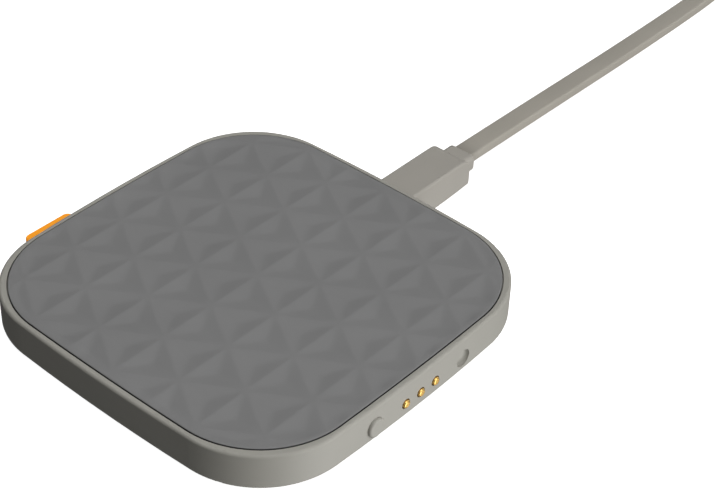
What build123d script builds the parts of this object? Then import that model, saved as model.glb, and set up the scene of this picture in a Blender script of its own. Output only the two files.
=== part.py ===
from build123d import *
import os
from math import atan2, cos, degrees, pi, radians, sin, sqrt, tan

# Wireless charging pad with a detachable flat lead.
# Millimetres. The origin is the middle of the base pad's underside; +Z is up, through the charging
# face; +Y is the side with the power socket; +X is the side with the three docking pins.

# ---- fits --------------------------------------------------------------------------------------
CLOSE_FIT = 0.02         # between two parts that touch in use
EASY_FIT = 0.1           # between two parts with room to spare
JOIN = 0.2               # how far two shapes of one solid run into each other
CUT = 1.0                # how far a cut runs past the face that it opens

# ---- pad outline -------------------------------------------------------------------------------
HALF = 47.5              # half the pad's width and depth
SIDE_ARC_R = 560.0       # the sides bow out very slightly
CORNER_R = 22.3
WALL = 1.85

# ---- opening that the mat lies in --------------------------------------------------------------
OPENING_HALF = 46.1
OPENING_SIDE_ARC_R = 950.0
OPENING_CORNER_R = 22.8
MAT_GAP = 0.27           # the dark groove between the rim and the mat
ADHESIVE_INSET = 0.6     # from the mat's edge

# ---- heights -----------------------------------------------------------------------------------
WALL_BOTTOM = 0.65       # the base pad stands this far below the wall
RIM_TOP = 9.75
MAT_TOP = 9.95           # the mat stands a little proud of the rim
MAT_SEAT = 8.9
ADHESIVE_T = 0.1
PLATE_UNDERSIDE = 7.9
TOP_EDGE_R = 0.7
BOTTOM_EDGE_R = 0.6
COVER_BOTTOM = 0.75
COVER_TOP = 1.85
COVER_GAP = 0.12
BASE_PAD_INSET = 6.0
BASE_PAD_TOP = 1.0
BASE_PAD_EDGE_R = 0.25
BOARD_BOTTOM = 2.4
BOARD_TOP = 3.2

# ---- cover and board screws --------------------------------------------------------------------
COVER_SCREW_XY = 33.5
COVER_BOSS_D = 6.0
COVER_BOSS_TOP = 2.75
BOSS_GAP = 0.05
COVER_BORE_D = 3.8
COVER_BORE_TOP = 2.0
SCREW_CLEAR_D = 2.2
SCREW_HOLE_D = 2.0
SCREW_SHANK_D = 1.9
SCREW_HEAD_D = 3.4
SCREW_HEAD_H = 0.9
SCREW_TIP_Z = 6.4
SCREW_TIP_ROOM = 0.4
SCREW_POINT_SHARE = 0.2  # the tip's chamfer as a share of the shank
HOUSING_BOSS_D = 5.0
BOARD_SCREW_X = 20.0
BOARD_SCREW_Y = 36.0
BOARD_SCREW_SHANK_D = 1.5
BOARD_SCREW_HOLE_D = 1.6
BOARD_SCREW_HEAD_H = 0.5
BOARD_BOSS_D = 4.0
DRIVE_SLOT = 0.5         # cross recess: blade thickness
DRIVE_SPAN = 1.9
DRIVE_DEPTH = 0.35

# ---- charging coil and shield ------------------------------------------------------------------
COIL_TURNS = 10
COIL_INNER_R = 10.0
COIL_PITCH = 1.25
COIL_WIRE_W = 1.05
COIL_BOTTOM = 6.75
COIL_TOP = 7.85
SHIELD_R = 25.5
SHIELD_BOTTOM = 5.9
SHIELD_TOP = 6.7
SHIELD_SLOT_W = 3.0
LEAD_WIRE_D = 0.8
LEAD_BEND_R = 1.2
INNER_LEAD_X = -0.7
INNER_LEAD_Y0 = 8.0
INNER_LEAD_Y1 = 28.5
OUTER_LEAD_X = -5.0
OUTER_LEAD_Y0 = 27.0
OUTER_LEAD_Y1 = 30.0
OUTER_LEAD_RISE = 0.5    # above the underside of the coil
SENSOR_R = 0.9
SENSOR_TOP = 1.1         # the bead ends this far above the shield
SENSOR_LEAD_X = 0.8
SENSOR_LEAD_Y0 = 2.0
SENSOR_LEAD_Y1 = 31.0
SENSOR_LEAD_RISE = 0.4
SENSOR_WIRE_D = 0.6
SENSOR_BEND_R = 0.3

# ---- main board --------------------------------------------------------------------------------
BOARD_HALF_X = 25.0
BOARD_Y0 = 12.0
BOARD_Y1 = 44.0
BOARD_CORNER_R = 2.0
CHIP_H = 0.9
CHIP_CHAMFER_SHARE = 0.125
CONTROLLER_XY = (-9.0, 33.5)
CONTROLLER_W = 6.0
BRIDGE_XYS = ((-17.0, 22.0), (-17.0, 28.5))
BRIDGE_W = 4.0
CAPACITOR_XYS = ((-10.0, 20.0), (-5.0, 20.0), (0.0, 20.0), (5.0, 20.0))
CAPACITOR_W = 3.2
CAPACITOR_D = 2.5
CAPACITOR_H = 1.6
INDUCTOR_XY = (12.0, 33.0)
INDUCTOR_W = 6.6
INDUCTOR_H = 2.4
INDUCTOR_EDGE_R = 0.8

# ---- docking side ------------------------------------------------------------------------------
DOCK_Y = 0.3             # middle of the pin row
DOCK_Z = 4.15
PIN_PITCH = 4.9
PIN_HOLE_D = 2.5
PIN_R = 1.0
PIN_PROUD = 0.5
PIN_NOSE_R = 0.4
PIN_FLANGE_R = 1.19
PIN_FLANGE_X0 = 44.0
PIN_FLANGE_L = 0.8
BARREL_R = 1.53
BARREL_BORE_R = 1.23
BARREL_LIP_R = 1.04
BARREL_X0 = 41.9
BARREL_BORE_X0 = 42.3
BARREL_LIP_X0 = 44.87
BARREL_X1 = 45.4
POST_R = 0.45
SPRING_R = 0.92
SPRING_WIRE_R = 0.12
SPRING_TURNS = 4
BLOCK_X0 = 41.6
BLOCK_X1 = 45.5
BLOCK_HALF_Y = 7.8
BLOCK_HALF_Z = 1.76
BLOCK_BORE_R = 1.56
DOCK_BOARD_T = 0.8
DOCK_BOARD_RISE = 2.0    # above the pins' axis
POST_GAP = 0.05
RIBBON_T = 0.15
RIBBON_W = 5.0
RIBBON_TURN_X = 30.0     # near side of the stretch that runs along Y
RIBBON_END_X = 21.0
RIBBON_END_Y = 19.0
BUMP_OFFSET_Y = 14.65    # bump at DOCK_Y - offset, recess at DOCK_Y + offset
BUMP_R = 2.35
BUMP_H = 0.8
BUMP_EDGE_R = 0.5
RECESS_R = 2.2
RECESS_DEPTH = 1.2
RECESS_EDGE_R = 1.1
MAGNET_OFFSET_Y = 22.0
MAGNET_R = 2.9
MAGNET_T = 2.0
MAGNET_X1 = 43.6
MAGNET_Z = 4.9
HOLDER_WALL = 1.0

# ---- tag on the -X side ------------------------------------------------------------------------
TAG_Y = -16.8
TAG_Z = 5.2
TAG_W = 13.8
TAG_T = 1.5
TAG_TIP_X = -52.3
TAG_CORNER_R = 1.6
TAG_EDGE_R = 0.45
TAG_FLANGE_W = 16.4
TAG_FLANGE_H = 3.2
TAG_FLANGE_T = 0.8
TAG_FLANGE_GAP = 0.05
TAG_SLOT_GAP = 0.08
TAG_SQUARE_END = 0.5     # the tab's edges stay square this close to the flange

# ---- power socket and the plug in it -----------------------------------------------------------
PORT_X = 0.4
PORT_Z = 4.5
PORT_OPENING_W = 8.0
PORT_OPENING_H = 3.1
PORT_OPENING_R = 0.8
SOCKET_W = 7.5
SOCKET_H = 2.6
SOCKET_WALL = 0.25
SOCKET_CHAMFER = 0.95
SOCKET_Y0 = 40.3
SOCKET_Y1 = 45.5
SOCKET_BACK_T = 1.0
TONGUE_W = 3.6
TONGUE_T = 0.5
TONGUE_Y1 = 44.4
TONGUE_GAP = 0.08
PLUG_SHELL_W = 6.85
PLUG_SHELL_H = 1.95
PLUG_SHELL_WALL = 0.25
PLUG_CHAMFER = 0.75
PLUG_SHELL_Y0 = 41.7
PLUG_SHELL_DEPTH = 0.4   # the shell's cavity ends this far before the moulded body
PLUG_INSERT_T = 0.6
PLUG_INSERT_SET_BACK = 0.3
PLUG_INSERT_SIDE_GAP = 0.2
PLUG_BODY_W = 10.6
PLUG_BODY_Y0 = 47.7
PLUG_BODY_Y1 = 70.35
PLUG_TOP_Z = 8.7
PLUG_UNDERSIDE = ((47.7, 0.1), (59.0, 0.16), (70.35, 0.82))   # an arc that rises towards the lead
PLUG_EDGE_R = 0.65
PLUG_REAR_TOP_R = 3.4
PLUG_REAR_EDGE_R = 0.8
COLLAR_X = 0.3
COLLAR_Z = 4.6
COLLAR_W = 7.9
COLLAR_H = 4.6
COLLAR_EDGE_R = 1.3
COLLAR_REAR_R = 0.5
COLLAR_Y1 = 73.85

# ---- flat lead ---------------------------------------------------------------------------------
CABLE_W = 5.6
CABLE_T = 2.8
CABLE_EDGE_R = 0.6
FILLET_SHARE = 0.45      # an arc takes this share of the shorter of its two runs
CABLE_ROUTE = [          # the stretch that lies flat, from the collar along the surface
    (0.1, COLLAR_Y1, 4.8),
    (0.05, 93.0, 4.4),
    (-0.7, 121.0, 2.9),
    (-1.4, 151.0, 1.42),
    (-1.4, 187.0, 1.42),
]
CABLE_REST_Z = 0.02
COIL_REST_Z = 0.7        # the wound lead rests on its tie
COIL_Y = 224.0
PACK_PITCH = 3.0         # from turn to turn
PACK_OUTER_R = 31.6
LAYER_TURNS = 2          # turns in the lower layer
RISE_TURNS = 0.5         # climb from the lower to the upper layer
UPPER_TURNS = 2 - 15 / 360
LAYER_STEP = 5.7
TWIST_STEPS = 6
TAIL_LENGTH = 54.0
PACK_GAP = 0.1
TIE_ANGLE = 100.0
TIE_W = 9.0
TIE_T = 0.6

# ---- supply plug at the far end ----------------------------------------------------------------
SUPPLY_W = 15.6
SUPPLY_H = 7.8
SUPPLY_L = 24.0
SUPPLY_COLLAR_L = 4.8
SUPPLY_CORNER_R = 2.6
SUPPLY_EDGE_R = 0.9
SUPPLY_SHELL_W = 12.0
SUPPLY_SHELL_H = 4.5
SUPPLY_SHELL_L = 18.5
SUPPLY_SHELL_WALL = 0.3
SUPPLY_SHELL_R = 0.5
SUPPLY_SHELL_INNER_R = 0.2
SUPPLY_SHELL_DEPTH = 0.4
SUPPLY_WINDOW_X = 3.0
SUPPLY_WINDOW_W = 2.4
SUPPLY_WINDOW_FROM_TIP = (9.0, 6.6)
SUPPLY_INSERT_T = 1.9
SUPPLY_INSERT_SET_BACK = 0.6
SUPPLY_INSERT_SIDE_GAP = 0.2
SUPPLY_CONTACT_W = 1.0
SUPPLY_CONTACT_T = 0.1
SUPPLY_CONTACT_FROM_TIP = (9.6, 1.6)
SUPPLY_CONTACT_XS = (-3.5, -1.0, 1.0, 3.5)

# ---- derived sizes -----------------------------------------------------------------------------
MAT_BOTTOM = MAT_SEAT + ADHESIVE_T
PIN_YS = [DOCK_Y + k * PIN_PITCH for k in (-1, 0, 1)]
COVER_SCREWS = [(x * COVER_SCREW_XY, y * COVER_SCREW_XY) for x in (-1, 1) for y in (-1, 1)]
BOARD_SCREWS = [(x, BOARD_SCREW_Y) for x in (-BOARD_SCREW_X, BOARD_SCREW_X)]
PACK_INNER_R = PACK_OUTER_R - PACK_PITCH * LAYER_TURNS
PACK_X = CABLE_ROUTE[-1][0] - PACK_OUTER_R
LOWER_Z = COIL_REST_Z + CABLE_W / 2
UPPER_Z = LOWER_Z + LAYER_STEP


# ---- helpers -----------------------------------------------------------------------------------
def side_x(y):
    """X of the bowed +X side at height y along it."""
    return HALF - SIDE_ARC_R + sqrt(SIDE_ARC_R ** 2 - y ** 2)


def turn_about_z(point, quarter):
    x, y = point
    for _ in range(quarter):
        x, y = -y, x
    return (x, y)


def bowed_square(half, side_arc_r, corner_arc_r, inset):
    """Four long side arcs joined by four corner arcs, all drawn in by inset."""
    back = side_arc_r - half
    reach = side_arc_r - corner_arc_r
    corner = (sqrt(2 * reach ** 2 - back ** 2) - back) / 2
    join = atan2(corner, corner + back)
    side_r = side_arc_r - inset
    corner_r = corner_arc_r - inset

    def on_side(angle):
        return (side_r * cos(angle) - back, side_r * sin(angle))

    def on_corner(angle):
        return (corner + corner_r * cos(angle), corner + corner_r * sin(angle))

    edges = []
    for quarter in range(4):
        side = [turn_about_z(on_side(a), quarter) for a in (-join, 0, join)]
        bend = [turn_about_z(on_corner(a), quarter) for a in (join, pi / 4, pi / 2 - join)]
        edges.append(ThreePointArc(*side))
        edges.append(ThreePointArc(*bend))
    return make_face(edges)


def slab(inset, z0, z1):
    """Plate with the pad's outline drawn in by inset."""
    return Pos(0, 0, z0) * extrude(bowed_square(HALF, SIDE_ARC_R, CORNER_R, inset), z1 - z0)


def opening_slab(inset, z0, z1):
    """Plate with the outline of the mat's opening drawn in by inset."""
    outline = bowed_square(OPENING_HALF, OPENING_SIDE_ARC_R, OPENING_CORNER_R, inset)
    return Pos(0, 0, z0) * extrude(outline, z1 - z0)


def block(x0, x1, y0, y1, z0, z1):
    middle = Pos((x0 + x1) / 2, (y0 + y1) / 2, (z0 + z1) / 2)
    return middle * Box(x1 - x0, y1 - y0, z1 - z0)


def post(x, y, radius, z0, z1):
    return Pos(x, y, (z0 + z1) / 2) * Cylinder(radius, z1 - z0)


def bar_x(x0, x1, y, z, radius):
    """Cylinder along X."""
    return Pos((x0 + x1) / 2, y, z) * Rot(0, 90, 0) * Cylinder(radius, x1 - x0)


def along_y(sketch, x, z, y0, y1):
    """Extrude a sketch drawn in X and Z from y0 to y1."""
    plane = Plane(origin=(x, y1, z), x_dir=(1, 0, 0), z_dir=(0, -1, 0))
    return extrude(plane * sketch, y1 - y0)


def d_profile(width, height, chamfer):
    """The socket's outline: a rectangle with its two lower corners cut off."""
    half_w = width / 2
    half_h = height / 2
    points = [
        (-half_w, half_h),
        (half_w, half_h),
        (half_w, chamfer - half_h),
        (half_w - chamfer, -half_h),
        (chamfer - half_w, -half_h),
        (-half_w, chamfer - half_h),
        (-half_w, half_h),
    ]
    return make_face(Polyline(*points))


def screw(x, y, head_z, head_h, tip_z, shank_d):
    """Screw driven from below, with a cross recess in its head."""
    head = post(x, y, SCREW_HEAD_D / 2, head_z, head_z + head_h)
    shank = post(x, y, shank_d / 2, head_z + head_h, tip_z)
    point = shank.faces().sort_by(Axis.Z)[-1].edges()
    shank = chamfer(point, shank_d * SCREW_POINT_SHARE)
    depth = min(DRIVE_DEPTH, head_h / 2)
    half = DRIVE_SPAN / 2
    thin = DRIVE_SLOT / 2
    cross = block(x - half, x + half, y - thin, y + thin, head_z - depth, head_z + depth)
    cross += block(x - thin, x + thin, y - half, y + half, head_z - depth, head_z + depth)
    return head + shank - cross


def corner_radii(points):
    """The largest arc that each corner of a route leaves room for."""
    radii = []
    for before, corner, after in zip(points, points[1:], points[2:]):
        arriving = Vector(*corner) - Vector(*before)
        leaving = Vector(*after) - Vector(*corner)
        turn = radians(arriving.get_angle(leaving))
        radii.append(FILLET_SHARE * min(arriving.length, leaving.length) / tan(turn / 2))
    return radii


def tube(points, bend_r, diameter):
    """Round wire along a route with equal bends."""
    path = FilletPolyline(*points, radius=bend_r)
    start = Plane(origin=path @ 0, z_dir=path % 0)
    return sweep(start * Circle(diameter / 2), path=path)


def cable_section(origin, heading, twist):
    """The flat lead's section across its level heading, turned by twist degrees from lying flat."""
    up = Vector(0, 0, 1)
    left = up.cross(Vector(*heading))
    wide = up * sin(radians(twist)) - left * cos(radians(twist))
    plane = Plane(origin=origin, x_dir=wide, z_dir=heading)
    return plane * RectangleRounded(CABLE_W, CABLE_T, CABLE_EDGE_R)


def resting_height(twist):
    """From the lowest corner of the turned section to its middle."""
    half_w = CABLE_W / 2 - CABLE_EDGE_R
    half_t = CABLE_T / 2 - CABLE_EDGE_R
    return half_w * sin(radians(twist)) + half_t * cos(radians(twist)) + CABLE_EDGE_R


def twist_shares():
    return [step / TWIST_STEPS for step in range(TWIST_STEPS + 1)]


def between(start, end, share):
    return [a + (b - a) * share for a, b in zip(start, end)]


# ---- pad shells --------------------------------------------------------------------------------
def make_housing():
    shell = slab(0, WALL_BOTTOM, RIM_TOP)
    shell = fillet(shell.edges().group_by(Axis.Z)[-1], TOP_EDGE_R)
    shell = fillet(shell.edges().group_by(Axis.Z)[0], BOTTOM_EDGE_R)
    shell -= opening_slab(0, MAT_SEAT, RIM_TOP + CUT)
    shell -= slab(WALL, WALL_BOTTOM - CUT, PLATE_UNDERSIDE)
    for x, y in COVER_SCREWS:
        shell += post(x, y, HOUSING_BOSS_D / 2, COVER_BOSS_TOP + BOSS_GAP, PLATE_UNDERSIDE)
        shell -= post(x, y, SCREW_HOLE_D / 2, COVER_BOSS_TOP, SCREW_TIP_Z + SCREW_TIP_ROOM)
    for x, y in BOARD_SCREWS:
        shell += post(x, y, BOARD_BOSS_D / 2, BOARD_TOP, PLATE_UNDERSIDE)
        shell -= post(x, y, BOARD_SCREW_HOLE_D / 2, BOARD_TOP - CUT, SCREW_TIP_Z + SCREW_TIP_ROOM)
    for side in (-1, 1):
        shell += magnet_holder(DOCK_Y + side * MAGNET_OFFSET_Y)
    for y in PIN_YS:
        shell -= bar_x(HALF - WALL - CUT, HALF + CUT, y, DOCK_Z, PIN_HOLE_D / 2)
    bump_y = DOCK_Y - BUMP_OFFSET_Y
    shell += Pos(side_x(bump_y), bump_y, DOCK_Z) * round_stud(BUMP_R, BUMP_H, BUMP_EDGE_R, WALL / 2)
    recess_y = DOCK_Y + BUMP_OFFSET_Y
    hollow = Rot(0, 0, 180) * round_stud(RECESS_R, RECESS_DEPTH, RECESS_EDGE_R, CUT)
    shell -= Pos(side_x(recess_y), recess_y, DOCK_Z) * hollow
    opening = RectangleRounded(PORT_OPENING_W, PORT_OPENING_H, PORT_OPENING_R)
    shell -= along_y(opening, PORT_X, PORT_Z, HALF - WALL - CUT, HALF + CUT)
    slot_w = TAG_W + 2 * TAG_SLOT_GAP
    slot_t = TAG_T + 2 * TAG_SLOT_GAP
    return shell - tag_block(-HALF - CUT, WALL - HALF + CUT, slot_w, slot_t)


def round_stud(radius, height, edge_r, base):
    """Cylinder along X, from -base to height, with a rounded end."""
    stud = bar_x(-base, height, 0, 0, radius)
    return fillet(stud.edges().group_by(Axis.X)[-1], edge_r)


def magnet_holder(y):
    """Pocket behind the docking wall that a magnet is pressed into from inside."""
    half = MAGNET_R + HOLDER_WALL
    x0 = MAGNET_X1 - MAGNET_T
    holder = block(x0, side_x(y) - WALL / 2, y - half, y + half, MAGNET_Z - MAGNET_R, PLATE_UNDERSIDE + JOIN)
    return holder - bar_x(x0 - CUT, MAGNET_X1, y, MAGNET_Z, MAGNET_R + CLOSE_FIT)


def make_base_cover():
    cover = slab(WALL + COVER_GAP, COVER_BOTTOM, COVER_TOP)
    for x, y in COVER_SCREWS:
        cover += post(x, y, COVER_BOSS_D / 2, COVER_BOTTOM, COVER_BOSS_TOP)
    cover -= slab(BASE_PAD_INSET, COVER_BOTTOM - CUT, BASE_PAD_TOP)
    for x, y in COVER_SCREWS:
        cover -= post(x, y, COVER_BORE_D / 2, COVER_BOTTOM - CUT, COVER_BORE_TOP)
        cover -= post(x, y, SCREW_CLEAR_D / 2, COVER_BOTTOM - CUT, COVER_BOSS_TOP + CUT)
    return cover


def make_base_pad():
    pad = slab(BASE_PAD_INSET + EASY_FIT, 0, BASE_PAD_TOP - CLOSE_FIT)
    return fillet(pad.edges().group_by(Axis.Z)[0], BASE_PAD_EDGE_R)


def make_top_mat():
    return opening_slab(MAT_GAP, MAT_BOTTOM, MAT_TOP)


def make_mat_adhesive():
    return opening_slab(MAT_GAP + ADHESIVE_INSET, MAT_SEAT, MAT_BOTTOM)


def make_cover_screws():
    head_z = COVER_BORE_TOP - SCREW_HEAD_H
    return [screw(x, y, head_z, SCREW_HEAD_H, SCREW_TIP_Z, SCREW_SHANK_D) for x, y in COVER_SCREWS]


# ---- charging coil -----------------------------------------------------------------------------
def make_charging_coil():
    """Flat spiral of half circles whose centres step from side to side."""
    step = COIL_PITCH / 2

    def half_turn(index, offset):
        centre = 0 if index % 2 == 0 else step
        side = 1 if index % 2 == 0 else -1
        radius = COIL_INNER_R + index * step + offset
        start = (centre + side * radius, 0)
        return ThreePointArc(start, (centre, side * radius), (centre - side * radius, 0))

    outer = [half_turn(i, COIL_WIRE_W / 2) for i in range(2 * COIL_TURNS)]
    inner = [half_turn(i, -COIL_WIRE_W / 2) for i in range(2 * COIL_TURNS)]
    ends = [Line(inner[0] @ 0, outer[0] @ 0), Line(inner[-1] @ 1, outer[-1] @ 1)]
    winding = make_face(outer + inner + ends)
    return Pos(0, 0, COIL_BOTTOM) * extrude(winding, COIL_TOP - COIL_BOTTOM)


def make_ferrite_shield():
    shield = post(0, 0, SHIELD_R, SHIELD_BOTTOM, SHIELD_TOP)
    half = SHIELD_SLOT_W / 2
    return shield - block(-half, half, 0, SHIELD_R + CUT, SHIELD_BOTTOM - CUT, SHIELD_TOP + CUT)


def drop_lead(x, y0, y1, z, diameter):
    """Wire that runs level along Y and then down to the main board."""
    return tube([(x, y0, z), (x, y1, z), (x, y1, BOARD_TOP)], LEAD_BEND_R, diameter)


def make_coil_leads():
    """Inner end through the shield's slot, outer end straight down beside the shield."""
    slot_z = (SHIELD_BOTTOM + SHIELD_TOP) / 2
    outer_z = COIL_BOTTOM + OUTER_LEAD_RISE
    return [
        drop_lead(INNER_LEAD_X, INNER_LEAD_Y0, INNER_LEAD_Y1, slot_z, LEAD_WIRE_D),
        drop_lead(OUTER_LEAD_X, OUTER_LEAD_Y0, OUTER_LEAD_Y1, outer_z, LEAD_WIRE_D),
    ]


def make_thermistor():
    """Bead on the shield in the middle of the coil, with its lead through the shield's slot."""
    bead = Pos(0, 0, SHIELD_TOP + SENSOR_TOP / 2) * Sphere(SENSOR_R)
    bead &= block(-SENSOR_R, SENSOR_R, -SENSOR_R, SENSOR_R, SHIELD_TOP, SHIELD_TOP + SENSOR_TOP)
    slot_z = (SHIELD_BOTTOM + SHIELD_TOP) / 2
    top_z = SHIELD_TOP + SENSOR_LEAD_RISE
    lead = drop_lead(SENSOR_LEAD_X, SENSOR_LEAD_Y0, SENSOR_LEAD_Y1, slot_z, SENSOR_WIRE_D)
    turns = [(0, 0, top_z), (SENSOR_LEAD_X, 0, top_z), (SENSOR_LEAD_X, SENSOR_LEAD_Y0, slot_z)]
    return bead + tube(turns, SENSOR_BEND_R, SENSOR_WIRE_D) + lead


# ---- electronics -------------------------------------------------------------------------------
def make_main_board():
    middle_y = (BOARD_Y0 + BOARD_Y1) / 2
    outline = Pos(0, middle_y) * RectangleRounded(2 * BOARD_HALF_X, BOARD_Y1 - BOARD_Y0, BOARD_CORNER_R)
    board = Pos(0, 0, BOARD_BOTTOM) * extrude(outline, BOARD_TOP - BOARD_BOTTOM)
    for x, y in BOARD_SCREWS:
        board -= post(x, y, SCREW_CLEAR_D / 2, BOARD_BOTTOM - CUT, BOARD_TOP + CUT)
    return board


def make_board_screws():
    head_z = BOARD_BOTTOM - BOARD_SCREW_HEAD_H
    sizes = (head_z, BOARD_SCREW_HEAD_H, SCREW_TIP_Z, BOARD_SCREW_SHANK_D)
    return [screw(x, y, *sizes) for x, y in BOARD_SCREWS]


def chip(at, width, depth, height):
    body = Pos(*at, BOARD_TOP + height / 2) * Box(width, depth, height)
    return chamfer(body.edges().group_by(Axis.Z)[-1], height * CHIP_CHAMFER_SHARE)


def make_power_inductor():
    core = chip(INDUCTOR_XY, INDUCTOR_W, INDUCTOR_W, INDUCTOR_H)
    return fillet(core.edges().filter_by(Axis.Z), INDUCTOR_EDGE_R)


# ---- docking pins ------------------------------------------------------------------------------
def make_pin_block():
    y0 = DOCK_Y - BLOCK_HALF_Y
    y1 = DOCK_Y + BLOCK_HALF_Y
    body = block(BLOCK_X0, BLOCK_X1, y0, y1, DOCK_Z - BLOCK_HALF_Z, DOCK_Z + BLOCK_HALF_Z)
    for y in PIN_YS:
        body -= bar_x(BLOCK_X0 - CUT, BLOCK_X1 + CUT, y, DOCK_Z, BLOCK_BORE_R)
    return body


def make_pin_barrels():
    barrels = []
    for y in PIN_YS:
        barrel = bar_x(BARREL_X0, BARREL_X1, y, DOCK_Z, BARREL_R)
        barrel += bar_x(BLOCK_X0 - DOCK_BOARD_T, BARREL_X0, y, DOCK_Z, POST_R)
        barrel -= bar_x(BARREL_BORE_X0, BARREL_LIP_X0, y, DOCK_Z, BARREL_BORE_R)
        barrel -= bar_x(BARREL_LIP_X0, BARREL_X1 + CUT, y, DOCK_Z, BARREL_LIP_R)
        barrels.append(barrel)
    return barrels


def make_contact_pin(y):
    nose = bar_x(PIN_FLANGE_X0 + PIN_FLANGE_L, HALF + PIN_PROUD, y, DOCK_Z, PIN_R)
    nose = fillet(nose.faces().sort_by(Axis.X)[-1].edges(), PIN_NOSE_R)
    return nose + bar_x(PIN_FLANGE_X0, PIN_FLANGE_X0 + PIN_FLANGE_L, y, DOCK_Z, PIN_FLANGE_R)


def make_pin_spring(y):
    space = PIN_FLANGE_X0 - BARREL_BORE_X0 - 2 * SPRING_WIRE_R - 2 * CLOSE_FIT
    path = Helix(pitch=space / SPRING_TURNS, height=space, radius=SPRING_R)
    start = Plane(origin=path @ 0, z_dir=path % 0)
    spring = sweep(start * Circle(SPRING_WIRE_R), path=path, is_frenet=True)
    return Pos(BARREL_BORE_X0 + SPRING_WIRE_R + CLOSE_FIT, y, DOCK_Z) * Rot(0, 90, 0) * spring


def make_dock_board():
    x0 = BLOCK_X0 - DOCK_BOARD_T
    y0 = DOCK_Y - BLOCK_HALF_Y
    y1 = DOCK_Y + BLOCK_HALF_Y
    board = block(x0, BLOCK_X0, y0, y1, BOARD_BOTTOM, DOCK_Z + DOCK_BOARD_RISE)
    for y in PIN_YS:
        board -= bar_x(x0 - CUT, BLOCK_X0 + CUT, y, DOCK_Z, POST_R + POST_GAP)
    return board


def make_dock_ribbon():
    """Flat flexible strip from the pin board to the corner of the main board."""
    x1 = BLOCK_X0 - DOCK_BOARD_T
    turn_x1 = RIBBON_TURN_X + RIBBON_W
    y0 = DOCK_Y - RIBBON_W / 2
    heights = (BOARD_TOP, BOARD_TOP + RIBBON_T)
    across = block(RIBBON_TURN_X, x1, y0, y0 + RIBBON_W, *heights)
    up = block(RIBBON_TURN_X, turn_x1, y0, RIBBON_END_Y, *heights)
    over = block(RIBBON_END_X, turn_x1, RIBBON_END_Y - RIBBON_W, RIBBON_END_Y, *heights)
    return across + up + over


def make_docking_magnets():
    ys = [DOCK_Y + side * MAGNET_OFFSET_Y for side in (-1, 1)]
    return [bar_x(MAGNET_X1 - MAGNET_T, MAGNET_X1, y, MAGNET_Z, MAGNET_R) for y in ys]


# ---- tag ---------------------------------------------------------------------------------------
def tag_block(x0, x1, width, thickness):
    """Block of the given section on the tag's axis."""
    return Pos((x0 + x1) / 2, TAG_Y, TAG_Z) * Box(x1 - x0, width, thickness)


def make_tag():
    """Soft tab that passes through the wall and is held by a flange inside."""
    inner_x = WALL - side_x(TAG_Y - TAG_FLANGE_W / 2) + TAG_FLANGE_GAP
    tab = tag_block(TAG_TIP_X, inner_x + JOIN, TAG_W, TAG_T)
    tip_corners = tab.edges().filter_by(Axis.Z).group_by(Axis.X)[0]
    tab = fillet(tip_corners, TAG_CORNER_R)
    rounded = tab.faces().filter_by(Axis.Z).edges()
    outside = [e for e in rounded if e.center().X < inner_x - TAG_SQUARE_END]
    flange = tag_block(inner_x, inner_x + TAG_FLANGE_T, TAG_FLANGE_W, TAG_FLANGE_H)
    return fillet(outside, TAG_EDGE_R) + flange


# ---- power socket ------------------------------------------------------------------------------
def make_socket_shell():
    wall = SOCKET_WALL
    outer = d_profile(SOCKET_W, SOCKET_H, SOCKET_CHAMFER)
    inner = d_profile(SOCKET_W - 2 * wall, SOCKET_H - 2 * wall, SOCKET_CHAMFER - wall / 2)
    shell = along_y(outer, PORT_X, PORT_Z, SOCKET_Y0, SOCKET_Y1)
    return shell - along_y(inner, PORT_X, PORT_Z, SOCKET_Y0 - CUT, SOCKET_Y1 + CUT)


def make_socket_tongue():
    inset = SOCKET_WALL + CLOSE_FIT
    back = d_profile(SOCKET_W - 2 * inset, SOCKET_H - 2 * inset, SOCKET_CHAMFER - SOCKET_WALL / 2)
    core = along_y(back, PORT_X, PORT_Z, SOCKET_Y0, SOCKET_Y0 + SOCKET_BACK_T)
    top = PORT_Z + PLUG_SHELL_H / 2 - PLUG_SHELL_WALL - TONGUE_GAP
    x0 = PORT_X - TONGUE_W / 2
    return core + block(x0, x0 + TONGUE_W, SOCKET_Y0, TONGUE_Y1, top - TONGUE_T, top)


# ---- plug on the lead --------------------------------------------------------------------------
def make_plug_body():
    """Moulded grip: a side outline with a round upper rear corner, drawn across its width."""
    front_low, low, rear_low = PLUG_UNDERSIDE
    front_top = (PLUG_BODY_Y0, PLUG_TOP_Z)
    rear_top = (PLUG_BODY_Y1, PLUG_TOP_Z)
    outline = make_face(
        [
            ThreePointArc(front_low, low, rear_low),
            Line(rear_low, rear_top),
            Line(rear_top, front_top),
            Line(front_top, front_low),
        ]
    )
    outline = fillet(outline.vertices().sort_by(Axis.X)[-2:].sort_by(Axis.Y)[-1], PLUG_REAR_TOP_R)
    outline = fillet(outline.vertices().sort_by(Axis.X)[-2:].sort_by(Axis.Y)[0], PLUG_REAR_EDGE_R)
    side = Plane(origin=(PORT_X - PLUG_BODY_W / 2, 0, 0), x_dir=(0, 1, 0), z_dir=(1, 0, 0))
    body = extrude(side * outline, PLUG_BODY_W)
    ends = body.faces().sort_by(Axis.X)
    around = [e for end in (ends[0], ends[-1]) for e in end.edges()]
    behind = [e for e in around if e.center().Y > PLUG_BODY_Y0 + CLOSE_FIT]
    return fillet(behind, PLUG_EDGE_R)


def make_plug_collar():
    """Stepped collar that fits closely against the round back of the moulded grip."""
    outline = RectangleRounded(COLLAR_W, COLLAR_H, COLLAR_EDGE_R)
    collar = along_y(outline, COLLAR_X, COLLAR_Z, PLUG_BODY_Y1 - PLUG_REAR_TOP_R, COLLAR_Y1)
    return fillet(collar.edges().group_by(Axis.Y)[-1], COLLAR_REAR_R) - make_plug_body()


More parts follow.
